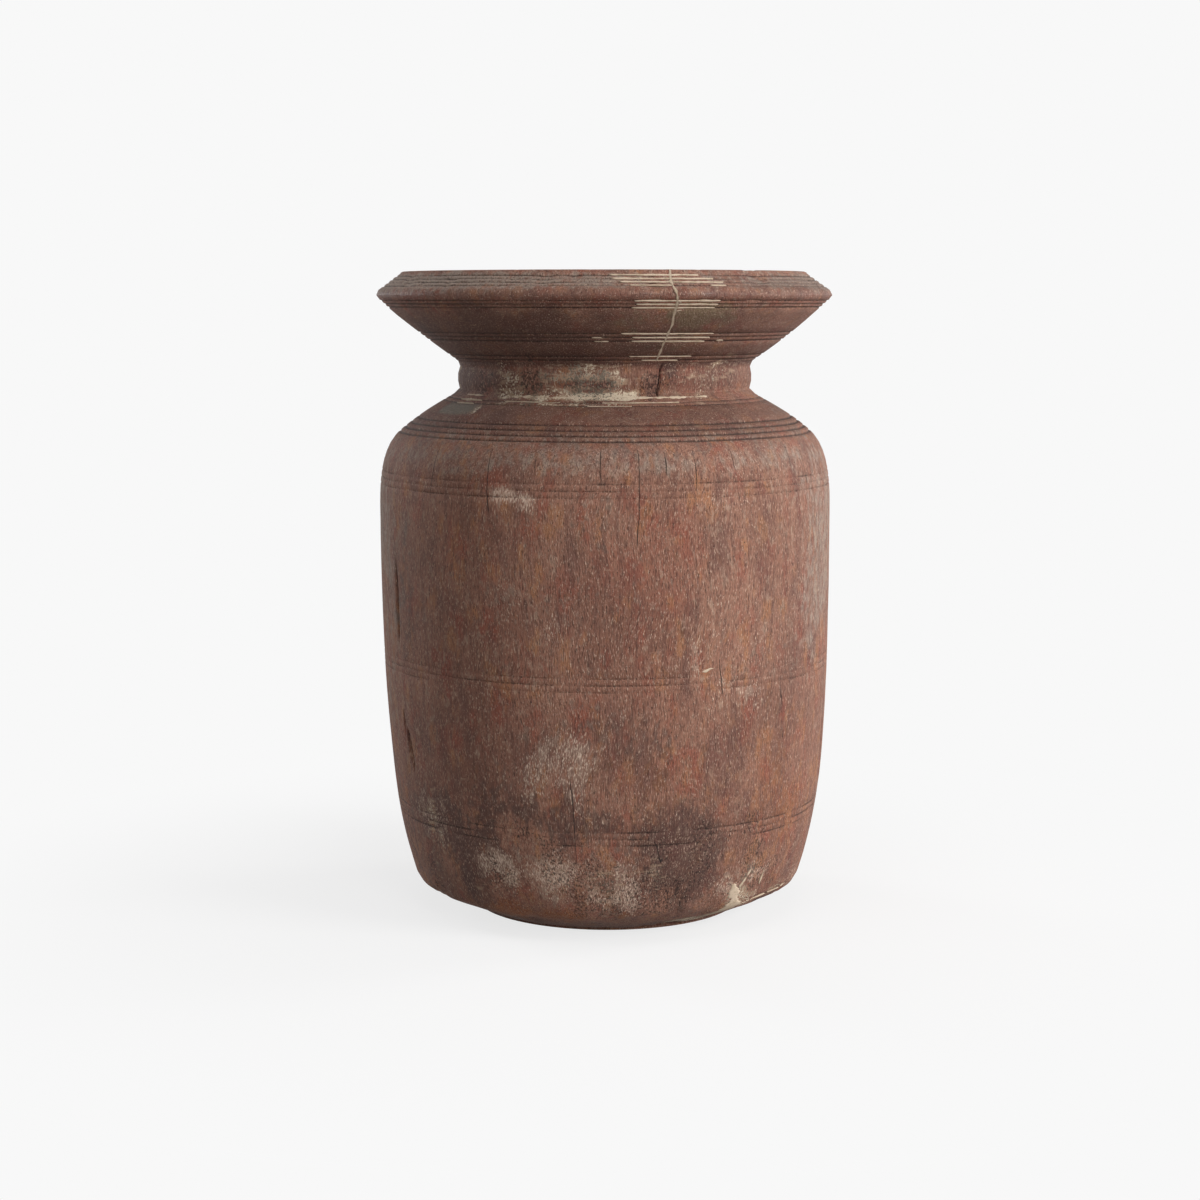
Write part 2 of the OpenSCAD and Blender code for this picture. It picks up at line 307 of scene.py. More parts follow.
    def swell(self, angle: np.ndarray, length: np.ndarray) -> np.ndarray:
        """How far shrinkage and hand turning move the surface in or out.

        The foot, the nose and the top keep their size, so the jar stays in its box.
        """
        at = self.place(angle, length)
        kept = window(length, self.marks["flare"] - 2, self.marks["nose"] + 1, 6)
        kept = kept + window(length, self.marks["bevel"] - 1, self.marks["mouth"], 4)
        kept = kept + 1 - rise(length, self.marks["foot_side"], self.marks["foot_side"] + 6)
        free = np.clip(1 - kept, 0, 1)
        return free * (0.55 * cloud(at, 95, 11, 2) + 0.16 * cloud(at, 17, 12, 2))


@dataclass(frozen=True)
class GrooveBand:
    """A band of turned grooves, worn shallow in places."""

    first: float
    pitch: float
    count: int
    depth: float = 0.8
    wear: float = 0.3
    half_w: float = 0.95
    # How dark a groove is painted: its grime and painted shade.
    groove_shade_and_grime: float = 1.0
    wear_mm: float = 46


@dataclass(frozen=True)
class Check:
    """A drying check, an open crack along the grain. Depth 0 is a hairline."""

    angle: float
    low: float
    high: float
    width: float = 0.35
    depth: float = 0
    lean: float = 0


@dataclass(frozen=True)
class Spot:
    """A patch of wear or dirt with a broken edge: an ellipse, or squarer if corner is over 2."""

    angle: float
    height: float
    half_angle: float
    half_height: float
    strength: float = 1
    breaking: float = 0.6
    corner: float = 2


class Pattern(Enum):
    """Patterns of the finishes, by their real size across and along the grain in mm.

    Fibres and pores of the real wood are about 0.3 mm wide. They are drawn twice as wide,
    as coarse as they need to be to show in the picture.
    """

    CLOUD = (75, 120)
    RED_ZONE = (13, 27)
    OCHRE_ZONE = (10, 22)
    UMBER_ZONE = (23, 52)
    MOTTLE = (4.2, 8)
    BAND = (4.5, 60)
    STREAK = (1.5, 14)
    FIBRE = (0.85, 5.2)
    FLECK = (0.65, 2.4)
    PORE = (0.62, 2.4)
    GRIT = (1.3, 1.5)
    SMEAR = (10, 2.4)
    SPECK = (2.0, 2.6)


@dataclass(frozen=True)
class Layer:
    """One colour laid over the colours below it.

    Where pattern is above low it starts to show, and above high it shows in full. An
    attribute of the mesh, where one is named, sets where the layer lies: reach is how
    strongly it moves the pattern's threshold.
    """

    colour: str
    amount: float
    pattern: Pattern | None = None
    low: float = 0.5
    high: float = 0.6
    attribute: str = ""
    reach: float = 0


def add_node(tree: bpy.types.NodeTree, kind: str, values: dict | None = None,
             links: dict | None = None, **settings: object) -> bpy.types.Node:
    """Adds a shader node with its settings, socket values and incoming links.

    Args:
        tree: The node tree.
        kind: Blender's type name of the node.
        values: Value of each input socket, by name or place.
        links: Output socket that feeds each input socket, by name or place.
        **settings: Properties of the node itself.

    Returns:
        The new node.
    """
    node = tree.nodes.new(kind)
    for key, value in settings.items():
        setattr(node, key, value)
    for key, value in (values or {}).items():
        node.inputs[key].default_value = value
    for key, source in (links or {}).items():
        tree.links.new(source, node.inputs[key])
    return node


@dataclass(frozen=True)
class LayeredFinish:
    """A rough natural surface that is a base colour under a list of layers."""

    name: str
    base: str
    layers: tuple[Layer, ...]
    roughness: float
    relief: tuple[tuple[Pattern, float], ...]
    polish: str = ""
    warp_mm: float = 5

    def material(self) -> bpy.types.Material:
        """Builds the material: warped grain space, colour layers, bump and shader."""
        made = bpy.data.materials.new(self.name)
        made.use_nodes = True
        tree = made.node_tree
        tree.nodes.clear()
        patterns = self._patterns(tree)
        base = add_node(tree, "ShaderNodeRGB")
        base.outputs[0].default_value = colour(self.base)
        shade = base.outputs[0]
        for layer in self.layers:
            amount = self._amount(tree, layer, patterns)
            shade = add_node(tree, "ShaderNodeMix", {7: colour(layer.colour)},
                             {0: amount, 6: shade}, data_type="RGBA").outputs[2]
        bump = None
        for pattern, height_mm in self.relief:
            links = {"Height": patterns[pattern]}
            if bump:
                links["Normal"] = bump.outputs[0]
            bump = add_node(tree, "ShaderNodeBump", {"Strength": 1.0,
                            "Distance": height_mm * MM}, links)
        shader = add_node(tree, "ShaderNodeBsdfPrincipled",
                          {"Roughness": self.roughness, "IOR": 1.5,
                           "Specular IOR Level": 0.35}, {"Base Color": shade})
        if bump:
            tree.links.new(bump.outputs[0], shader.inputs["Normal"])
        if self.polish:
            gloss = add_node(tree, "ShaderNodeAttribute", attribute_name=self.polish)
            rough = add_node(tree, "ShaderNodeMapRange", {"To Min": self.roughness,
                             "To Max": 0.1}, {"Value": gloss.outputs["Fac"]})
            tree.links.new(rough.outputs[0], shader.inputs["Roughness"])
        add_node(tree, "ShaderNodeOutputMaterial", links={"Surface": shader.outputs[0]})
        return made

    def _patterns(self, tree: bpy.types.NodeTree) -> dict[Pattern, bpy.types.NodeSocket]:
        """Noise of each pattern the finish uses, stretched along the log's axis."""
        place = add_node(tree, "ShaderNodeTexCoord").outputs["Object"]
        drift = add_node(tree, "ShaderNodeTexNoise", {"Scale": 1 / (60 * MM), "Detail": 1.0},
                         {"Vector": place})
        centred = add_node(tree, "ShaderNodeVectorMath", {1: (0.5, 0.5, 0.5)},
                           {0: drift.outputs["Color"]}, operation="SUBTRACT")
        moved = add_node(tree, "ShaderNodeVectorMath", {3: 2 * self.warp_mm * MM},
                         {0: centred.outputs[0]}, operation="SCALE")
        grain = add_node(tree, "ShaderNodeVectorMath",
                         links={0: place, 1: moved.outputs[0]}, operation="ADD").outputs[0]
        used = {p for p, _ in self.relief} | {la.pattern for la in self.layers if la.pattern}
        noises = {}
        for index, pattern in enumerate(Pattern):
            if pattern not in used:
                continue
            across, along = pattern.value
            scaled = add_node(tree, "ShaderNodeMapping",
                              {"Location": (index * 3.7, index * 1.3, index * 2.1),
                               "Scale": (1 / (across * MM), 1 / (across * MM),
                                         1 / (along * MM))}, {"Vector": grain})
            noises[pattern] = add_node(tree, "ShaderNodeTexNoise",
                                       {"Scale": 1.0, "Detail": 2.5, "Roughness": 0.6},
                                       {"Vector": scaled.outputs[0]}).outputs["Fac"]
        return noises

    @staticmethod
    def _amount(tree: bpy.types.NodeTree, layer: Layer,
                patterns: dict[Pattern, bpy.types.NodeSocket]) -> bpy.types.NodeSocket:
        """How much of a layer shows: its pattern, moved by its attribute, through a ramp.

        A layer of cracks shows where the distance field check_place is near zero, as
        strongly as check_strength says.
        """
        value = patterns[layer.pattern] if layer.pattern else None
        if layer.attribute == "check_place":
            place = add_node(tree, "ShaderNodeAttribute", attribute_name="check_place")
            strength = add_node(tree, "ShaderNodeAttribute", attribute_name="check_strength")
            apart = add_node(tree, "ShaderNodeMath", links={0: place.outputs["Fac"]},
                             operation="ABSOLUTE")
            near = add_node(tree, "ShaderNodeMapRange",
                            {"From Min": 1.0, "From Max": 0.3, "To Min": 0.0, "To Max": 1.0},
                            {"Value": apart.outputs[0]}, interpolation_type="SMOOTHSTEP")
            value = add_node(tree, "ShaderNodeMath", links={0: near.outputs[0],
                             1: strength.outputs["Fac"]}, operation="MULTIPLY").outputs[0]
        elif layer.attribute:
            mask = add_node(tree, "ShaderNodeAttribute", attribute_name=layer.attribute)
            if value is None:
                value = mask.outputs["Fac"]
            else:
                value = add_node(tree, "ShaderNodeMath", {1: layer.reach},
                                 {0: mask.outputs["Fac"], 2: value},
                                 operation="MULTIPLY_ADD").outputs[0]
        return add_node(tree, "ShaderNodeMapRange",
                        {"From Min": layer.low, "From Max": layer.high,
                         "To Min": 0.0, "To Max": layer.amount},
                        {"Value": value}, interpolation_type="SMOOTHSTEP").outputs[0]


def new_piece(name: str, vertices: np.ndarray, faces: list[list[int]],
              material: bpy.types.Material, stands_for: tuple[str, ...],
              attributes: dict[str, np.ndarray] | None = None) -> bpy.types.Object:
    """Makes a smooth shaded piece that rides on the jar's one body.

    Args:
        name: Name of the piece.
        vertices: Places in millimetres, one row each.
        faces: Vertex numbers of each face, counter-clockwise from outside.
        material: The finish.
        stands_for: CAD nodes that the piece replaces.
        attributes: Values per vertex that the finish reads, by name.

    Returns:
        The new object, at the origin.
    """
    mesh = bpy.data.meshes.new(name)
    mesh.from_pydata((vertices * MM).tolist(), [], faces)
    for key, values in (attributes or {}).items():
        layer = mesh.attributes.new(key, "FLOAT", "POINT")
        layer.data.foreach_set("value", np.ascontiguousarray(values, dtype=np.float32))
    mesh.shade_smooth()
    mesh.materials.append(material)
    mesh.update()
    piece = bpy.data.objects.new(name, mesh)
    bpy.context.scene.collection.objects.link(piece)
    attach(piece, "root")
    if stands_for:
        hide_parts(*stands_for)
    LOG.info("%s: %d vertices, %d faces", name, len(vertices), len(faces))
    return piece


# A dry open-grained tropical hardwood, turned green by hand and never varnished: red-brown
# with dark pores and pale fibres drawn out along the grain, greyed by weathering, with lime
# dust rubbed into the low places. Light and shade are painted in too: paler grey on the
# upward bevel, the shoulder's round and both sides as painted light and sheen, and darker
# under the flare, on the neck and in the grooves as painted shade.
HARDWOOD = LayeredFinish(
    name="turned_hardwood_worn_unvarnished",
    base="946a58",
    layers=(
        Layer("70493c", 0.5, Pattern.CLOUD, 0.42, 0.66),
        Layer("8c4838", 0.62, Pattern.RED_ZONE, 0.5, 0.68),
        Layer("a57250", 0.7, Pattern.OCHRE_ZONE, 0.53, 0.68),
        Layer("65463f", 0.66, Pattern.UMBER_ZONE, 0.5, 0.7),
        Layer("8a4a3a", 0.6, Pattern.MOTTLE, 0.62, 0.95, "red", 0.35),
        Layer("b08f79", 0.5, Pattern.MOTTLE, 0.52, 0.74),
        Layer("62423a", 0.5, Pattern.BAND, 0.5, 0.72),
        # Grey weathering, with painted light on the upward bevel and the shoulder's round, and
        # painted sheen along both sides.
        Layer("9a8c80", 0.85, Pattern.MOTTLE, 0.55, 1.0, "grey", 0.6),
        Layer("7b6c52", 0.85, Pattern.MOTTLE, 0.62, 1.02, "olive", 0.6),
        Layer("4a3531", 0.8, Pattern.MOTTLE, 0.68, 1.0, "stain", 0.6),
        Layer("95582f", 0.7, Pattern.MOTTLE, 0.65, 1.1, "orange", 0.6),
        # Painted shade over a darker patina, where the attribute dark lies: under the flare, on
        # the neck and on the shoulder below.
        Layer("3c2520", 0.85, None, 0.0, 1.0, "dark"),
        Layer("7f7b70", 0.85, None, 0.3, 0.8, "flat"),
        Layer("5b3c33", 0.75, Pattern.FIBRE, 0.48, 0.68),
        Layer("4c322a", 0.6, Pattern.STREAK, 0.54, 0.74),
        Layer("c6a894", 0.7, Pattern.FLECK, 0.54, 0.72),
        Layer("33211b", 0.85, Pattern.PORE, 0.59, 0.70),
        Layer("b0917f", 0.5, Pattern.MOTTLE, 0.66, 1.0, "chalk", 0.4),
        Layer("dfc6b2", 0.75, Pattern.FLECK, 0.72, 0.94, "chalk", 0.34),
        Layer("ab927a", 0.6, Pattern.SMEAR, 0.64, 0.86, "lime", 0.34),
        Layer("dfd0b8", 0.85, Pattern.GRIT, 0.74, 0.86, "lime", 0.34),
        Layer("241712", 0.8, Pattern.GRIT, 0.80, 0.92, "grime_pits", 0.4),
        # Grime with painted shade in the turned grooves, from the attribute groove.
        Layer("261812", 0.85, Pattern.GRIT, 0.66, 1.2, "groove", 0.75),
        Layer("170f0c", 0.92, None, 0.2, 0.8, "check_place"),
        Layer("e6ddcf", 0.9, Pattern.SPECK, 0.80, 0.83),
    ),
    roughness=0.82,
    relief=((Pattern.FIBRE, 0.7), (Pattern.PORE, 0.6)),
    polish="polish",
)

# A hard cream filler of lime and glue, pressed in by hand and left matt, grey with dust.
FILLER = LayeredFinish(
    name="lime_putty_matt",
    base="cab7a1",
    layers=(
        Layer("a8947a", 0.6, Pattern.MOTTLE, 0.42, 0.7),
        Layer("8a735d", 0.55, Pattern.GRIT, 0.56, 0.74),
        Layer("5a463a", 0.9, None, 0.2, 0.9, "seam"),
    ),
    roughness=0.9,
    relief=((Pattern.GRIT, 0.25),),
    warp_mm=1,
)


@dataclass
class TurnedLog:
    """The jar itself: barrel, shoulder, neck, flared rim and foot in one piece of wood."""

    outline: LogOutline
    column_step: float = 1.25
    outer_step: float = 5.8
    inner_step: float = 18
    bands: list[GrooveBand] = field(default_factory=list)
    checks: list[Check] = field(default_factory=list)
    spots: dict[str, list[Spot]] = field(default_factory=dict)

    def __post_init__(self) -> None:
        """Sets out the bands, the checks and the wear from the outline's heights."""
        o = self.outline
        self.bands = [
            GrooveBand(o.nose_z + 2, 2, 4, 0.65, 0.35, groove_shade_and_grime=0.9),
            GrooveBand(o.flare_z - 3.4, 2, 3, 0.7, 0.3),
            GrooveBand(o.neck_z + 13.2, 2.25, 3, 0.65, 0.3),
            GrooveBand(o.neck_z + 1.7, 2.4, 2, 0.6, 0.3),
            GrooveBand(o.slope_z - 3.3, 1.9, 2, 0.7, 0.35),
            GrooveBand(o.turn_z + 2.3, 3, 4, 1.1, 0.15, 1.3),
            GrooveBand(o.barrel_z + 12, 4.1, 3, 0.5, 0.5, 0.9, 0.62, 24),
            GrooveBand(o.corner_z + 139.5, 4.1, 3, 0.45, 0.65, 0.9, 0.58, 20),
            GrooveBand(o.corner_z + 46.5, 4.1, 3, 0.6, 0.7, 1.0, 0.8, 22),
        ]
        self.checks = [
            Check(-64, 178, 223, 1.3, 3.5, 0.6), Check(-61.6, 99, 132, 1.6, 2.6, 4.5),
            Check(77, 88, 130, 1.2, 3, 0.9), Check(20.4, 325, 346, 0.5, 2.2, -1.4),
            Check(-29, 258, 299, 0.42, 0, 1), Check(-1.1, 276, 299, 0.3),
            Check(8, 240, 299, 0.45, 0, -0.8), Check(22.4, 270, 297, 0.36),
            Check(33, 284, 300, 0.34), Check(53.5, 282, 300, 0.32),
            Check(60, 272, 294, 0.34), Check(-47, 266, 299, 0.34),
            Check(-8.6, 50, 104, 0.4, 0, 1), Check(14.6, 26, 68, 0.55, 0, 5),
            Check(15, 283, 296, 0.28), Check(-17, 283, 296, 0.24),
            Check(28.6, 150, 176, 0.4, 0, 1), Check(49, 120, 160, 0.32, 0, 2),
            *self._unseen_checks(),
        ]
        self.spots = self._wear()

    @staticmethod
    def _unseen_checks() -> list[Check]:
        """Hairlines round the sides and back, spread as those at the front are."""
        draw = np.random.default_rng(7)
        angles = np.linspace(92, 268, 18) + draw.uniform(-3.5, 3.5, 18)
        lows = draw.choice([262, 272, 282, 60], 18)
        return [Check(float((a + 180) % 360 - 180), float(low), float(low + span), 0.26)
                for a, low, span in zip(angles, lows, draw.uniform(14, 34, 18))]

    @staticmethod
    def _wear() -> dict[str, list[Spot]]:
        """Where the weathering lies, by the name of the attribute that carries it."""
        return {
            "chalk": [
                Spot(-23, 270, 8, 6, 0.95, 1.0), Spot(-13, 108, 9, 20, 0.75, 1.2),
                Spot(-13.5, 193, 3.4, 14, 0.6, 1.0), Spot(26, 188, 5, 42, 0.62, 1.2),
                Spot(-20, 214, 7, 32, 0.45, 1.2), Spot(33, 265, 8, 8, 0.5, 1.0),
                Spot(-52, 62, 8, 28, 0.6, 1.2), Spot(-56, 100, 3, 30, 0.5, 1.0),
                Spot(-13, 44, 26, 17, 0.95, 0.6), Spot(-2, 30, 18, 12, 0.88, 0.6),
                Spot(20, 66, 12, 16, 0.35, 1.4), Spot(43, 36, 10, 12, 0.75, 1.2),
                Spot(56, 24, 14, 6, 0.7, 1.2), Spot(4, 142, 1.4, 3, 0.8),
                Spot(30, 152, 11, 18, 0.5, 1.2), Spot(12, 210, 6, 26, 0.35, 1.2),
                Spot(-33, 150, 7, 24, 0.35, 1.2), Spot(58, 215, 6, 30, 0.4, 1.2),
                Spot(-66, 240, 7, 30, 0.4, 1.2), Spot(5, 170, 60, 60, 0.25, 1.4),
                Spot(23, 168, 5, 6, 0.6, 0.8), Spot(0, 262, 400, 4, 0.3, 1.4),
                Spot(0, 314, 400, 6, 0.2, 1.4), Spot(0, 280, 400, 8, 0.2, 1.4),
                Spot(150, 60, 36, 28, 0.65, 1.6), Spot(-120, 150, 14, 56, 0.45, 1.2),
                Spot(110, 210, 11, 46, 0.5, 1.2), Spot(-150, 268, 10, 8, 0.8, 1.0),
            ],
            "lime": [
                Spot(-10, 339, 52, 4.6, 0.85, 1.1), Spot(-2, 329.6, 46, 3, 0.8, 1.1),
                Spot(-36, 333, 12, 6, 0.5, 1.0), Spot(34, 338, 10, 4, 0.6, 1.0),
                Spot(48, 338, 22, 5, 0.35, 1.0), Spot(-66, 341, 22, 4, 0.4, 1.0),
                Spot(0, 344.5, 75, 1.8, 0.6, 1.2), Spot(-3, 326.6, 50, 2.2, 1.2, 0.6),
                Spot(-6, 322.6, 36, 1.2, 0.7, 1.0), Spot(-57, 323.6, 8, 0.9, 0.9, 0.5),
                Spot(-24, 338, 34, 8, 0.55, 1.2), Spot(20, 340, 30, 4, 0.5, 1.2),
                Spot(48, 337, 34, 8, 0.4, 1.2),
                Spot(-46.6, 318.2, 1.4, 4.2, 1.0, 0.1, 4), Spot(29, 9, 7, 3.4, 0.95, 0.9),
                Spot(35, 5, 5, 2.4, 0.9, 0.9), Spot(41, 3, 3, 1.8, 0.8),
                Spot(52, 20.5, 15, 1.8, 0.75, 1.4), Spot(-1.5, 361, 4, 3, 0.75, 0.9),
                Spot(24, 376.5, 8, 3.5, 0.5, 1.0),
                Spot(41.5, 20, 6, 8, 0.8, 1.2), Spot(41.5, 35, 2.6, 8, 0.6, 1.2),
                Spot(-8, 369, 5, 4, 0.5, 1.0), Spot(-9, 37, 24, 14, 0.5, 1.2),
                Spot(-53, 74, 2.4, 12, 0.6, 1.0), Spot(-50, 52, 1.8, 14, 0.7, 1.0),
                Spot(180, 338, 44, 6, 0.8, 0.9), Spot(160, 12, 20, 6, 0.7, 1.0),
            ],
            "grime_pits": [
                Spot(-14, 336, 52, 11, 0.9, 0.8), Spot(0, 336, 400, 11, 0.6, 0.8),
                Spot(-5, 46, 60, 34, 0.75, 1.2), Spot(-60, 80, 20, 60, 0.5, 1.0),
                Spot(160, 60, 60, 40, 0.5, 1.2),
            ],
            # Grey weathering over the bevel, the shoulder and the back. The paler grey on the
            # upward bevel and the shoulder's round is painted light, and the bands at about 75
            # degrees on each side are painted sheen.
            "grey": [
                Spot(-90, 394.5, 116, 6.5, 1.0, 0.2), Spot(110, 394.5, 95, 6.5, 0.9, 0.2),
                Spot(0, 303, 400, 6, 0.3), Spot(-76, 230, 14, 90, 0.5),
                Spot(74, 240, 18, 90, 0.5), Spot(-12, 50, 36, 30, 0.2, 1.0),
                Spot(0, 291, 400, 8, 0.4), Spot(-150, 200, 30, 90, 0.4),
                Spot(140, 120, 30, 70, 0.35),
            ],
            "flat": [Spot(-57.5, 318.2, 14, 4.4, 1.0, 0.05, 6)],
            "olive": [Spot(21, 373, 13, 9, 1.0, 0.5), Spot(6, 370, 8, 9, 0.5),
                      Spot(15, 357, 14, 5, 0.5)],
            "red": [
                Spot(8, 235, 16, 46, 0.8), Spot(-34, 240, 14, 36, 0.6),
                Spot(55, 120, 16, 56, 0.5), Spot(5, 150, 34, 36, 0.5),
                Spot(0, 384.5, 400, 4, 0.9, 0.3), Spot(60, 368, 34, 15, 0.7),
                Spot(0, 334.2, 56, 2.6, 0.9, 0.3), Spot(-170, 150, 34, 70, 0.6),
                Spot(0, 318, 400, 8, 0.5), Spot(56, 334, 20, 7, 0.7),
            ],
            "stain": [
                Spot(19, 57, 15.5, 38, 1.0, 0.22, 4), Spot(-28, 82, 26, 13, 0.75, 0.8),
                Spot(-42, 62, 17, 36, 0.85, 0.8), Spot(2, 118, 38, 30, 0.5, 1.0),
                Spot(-10.6, 82, 4.5, 36, 0.7, 0.6), Spot(0, 298, 400, 5, 0.35),
                Spot(25, 342, 8, 6, 0.9, 0.3), Spot(46, 150, 14, 36, 0.4),
                Spot(-8, 46, 36, 34, 0.4, 1.6), Spot(-70, 60, 16, 46, 0.5),
                Spot(-100, 60, 44, 40, 0.6), Spot(170, 120, 24, 80, 0.5),
                Spot(-60, 200, 8, 50, 0.5), Spot(-8, 210, 30, 50, 0.35, 1.4),
            ],
            "orange": [Spot(-26, 16, 24, 9, 0.95), Spot(58, 76, 18, 40, 0.55),
                       Spot(8, 106, 20, 20, 0.45), Spot(46, 110, 16, 50, 0.5),
                       Spot(150, 16, 44, 10, 0.6)],
            # Painted shade under the flare's overhang, on the neck, on the shoulder below it and
            # in the creases at the neck's ends, over a darker patina under the flare. The other
            # spots darken the nose, the base and long bands down the barrel's sides.
            "dark": [
                Spot(0, 366, 400, 18, 0.5, 0.2), Spot(0, 352, 400, 9, 0.6, 0.2),
                Spot(-26, 364, 68, 24, 0.82, 0.3), Spot(-14, 352, 60, 11, 0.85, 0.3),
                Spot(0, 345.8, 400, 2, 0.85, 0.4), Spot(0, 327, 400, 2, 0.6, 0.5),
                Spot(-78, 336, 34, 14, 0.95, 0.3), Spot(-44, 336, 16, 14, 0.68, 0.4),
                Spot(0, 336, 400, 12, 0.46, 0.4), Spot(46, 336, 32, 12, 0.6, 0.4),
                Spot(0, 313, 400, 15, 0.5, 0.3),
                Spot(-20, 288, 60, 12, 0.25, 0.5), Spot(62, 392, 42, 10, 0.48, 0.2),
                Spot(0, 386.5, 400, 5.5, 0.46, 0.3), Spot(20, 392, 20, 9, 0.3, 0.3),
                Spot(-42, 190, 18, 130, 0.36, 0.5), Spot(46, 190, 14, 130, 0.26, 0.5),
                Spot(0, 4, 400, 9, 0.6, 0.5), Spot(-48, 26, 32, 24, 0.6, 0.6),
                Spot(-60, 190, 10, 60, 0.3, 0.6), Spot(-55, 80, 12, 50, 0.4, 0.6),
                Spot(-26, 18, 24, 9, 0.32, 0.6),
            ],
            "polish": [Spot(11, 386.6, 5, 2.2, 1, 0.4), Spot(22, 386.6, 4, 2, 0.9, 0.4),
                       Spot(0, 386, 400, 2, 0.35, 0.2)],
        }

    def columns(self) -> np.ndarray:
        """Angles of the grid's columns, closer together at the open checks."""
        plain = np.arange(-180, 180, self.column_step)
        fine = [c.angle + np.arange(-2.4, 2.41, 0.3) * (1.6 if c.lean > 3 else 1)
                for c in self.checks if c.depth]
        merged = np.unique(np.round(np.concatenate([plain, *fine]), 3))
        return merged[np.concatenate([[True], np.diff(merged) > 0.15])]

    def rows(self) -> np.ndarray:
        """Arc lengths of the grid's rows: each corner, five across each groove, and fill."""
        o = self.outline
        corners = np.concatenate([np.array(list(o.marks.values()))[:-1] + d
                                  for d in (-0.6, 0, 0.6)])
        across = np.array([-1, -0.5, 0, 0.5, 1])
        grooves = np.concatenate([o.length_at(b.first + i * b.pitch) + across * b.half_w
                                  for b in self.bands for i in range(b.count)])
        near = np.abs(corners[:, None] - grooves[None]).min(axis=1) < 0.45
        fixed = np.unique(np.concatenate([corners[~near], grooves]))
        fixed = fixed[np.concatenate([[True], np.diff(fixed) > 0.28])]
        fixed = np.concatenate([[o.marks["dish"] / 4], fixed, [o.lengths[-1] - 12]])
        outer = (fixed > o.marks["foot"]) & (fixed < o.marks["lip"])
        step = np.where(outer[:-1], self.outer_step, self.inner_step)
        parts = np.ceil(np.diff(fixed) / step).astype(int)
        filled = [np.linspace(a, b, n, endpoint=False)
                  for a, b, n in zip(fixed[:-1], fixed[1:], parts)]
        return np.concatenate([*filled, fixed[-1:]])

    def _grooves(self, at: np.ndarray, length: np.ndarray) -> tuple[np.ndarray, np.ndarray]:
        """Depth of the grooves, and their grime and painted shade: a rounded V across, taken
        down by wear.
        """
        cut, groove_shade_and_grime = np.zeros(at.shape[:-1]), np.zeros(at.shape[:-1])
        for number, band in enumerate(self.bands):
            for i in range(band.count):
                centre = self.outline.length_at(band.first + i * band.pitch)
                near = np.abs(length[:, 0] - centre) < band.half_w
                across = np.abs(length[near] - centre) / band.half_w
                worn = rise(cloud(at[near], band.wear_mm, 40 + 7 * number + i, 4), -0.3, 0.25)
                left = (1 - band.wear * worn) * np.clip(1 - across ** 1.6, 0, 1)
                cut[near] = np.maximum(cut[near], band.depth * left)
                groove_shade_and_grime[near] = np.maximum(groove_shade_and_grime[near], band.groove_shade_and_grime * left)
        return cut, groove_shade_and_grime

    def _checks(self, angle: np.ndarray, length: np.ndarray, at: np.ndarray
                ) -> tuple[np.ndarray, np.ndarray, np.ndarray]:
        """Drying checks as a field that crosses zero only on them.

        The distance to the nearest check takes a sign that changes at every check, so it
        blends between vertices without a false line half way between two of them.

        Returns:
            Depth of the open checks, distance in check widths, and strength.
        """
        o = self.outline
        length = length[:, :1]
        height = o.height(length)
        outside = rise(length, o.marks["foot"], o.marks["foot"] + 3)
        outside = outside * (1 - rise(length, o.marks["bevel"], o.marks["bevel"] + 1))
        checks = sorted(self.checks, key=lambda c: c.angle)
        offsets, strengths, widths, depths = [], [], [], []
        for n, c in enumerate(checks):
            share = (height - c.low) / (c.high - c.low)
            wander = 0.35 * cloud(np.stack([0 * height + 40 * n, 0 * height, height], -1), 13, n)
            offsets.append(angle - c.angle - c.lean * (0.5 - share) - wander)
            ends = window(height, c.low + 4, c.high - 4, 6) * outside
            strengths.append(ends + 0 * angle)
            widths.append(c.width * (0.4 + 0.6 * np.sin(np.pi * np.clip(share, 0, 1)))
                          + 0 * angle)
            depths.append(c.depth * ends + 0 * angle)
        offset = np.array(offsets)
        radius = np.hypot(at[..., 0], at[..., 1])
        apart = np.abs((offset + 180) % 360 - 180)
        nearest = apart.argmin(axis=0)[None]
        pick = [np.take_along_axis(np.array(v), nearest, 0)[0]
                for v in (apart, strengths, widths, depths)]
        distance = np.radians(pick[0]) * radius / pick[2]
        sign = 1 - 2 * ((offset > 0).sum(axis=0) % 2)
        return pick[3] * np.exp(-(distance / 1.1) ** 2), sign * np.clip(distance, 0, 6), pick[1]

    def _spots(self, angle: np.ndarray, length: np.ndarray, at: np.ndarray, name: str
               ) -> np.ndarray:
        """Strongest of the spots of one attribute: 1 in an ellipse, broken at its edge."""
        o = self.outline
        height = o.height(length)
        outside = (length > o.marks["foot_side"]) & (length < o.marks["top"])
        rough = cloud(at * np.array([1, 1, 0.6]), 15, 80 + len(name), 4)
        total = np.zeros(at.shape[:-1])
        for s in self.spots[name]:
            across = np.abs((angle - s.angle + 180) % 360 - 180) / s.half_angle
            if s.half_angle > 360:
                across = 0 * angle
            up = np.abs(height - s.height) / s.half_height
            reach = (across ** s.corner + up ** s.corner) ** (1 / s.corner)
            total = np.maximum(total, s.strength * rise(-reach + s.breaking * 1.8 * rough,
                                                        -1.4, -0.2))
        return total * outside

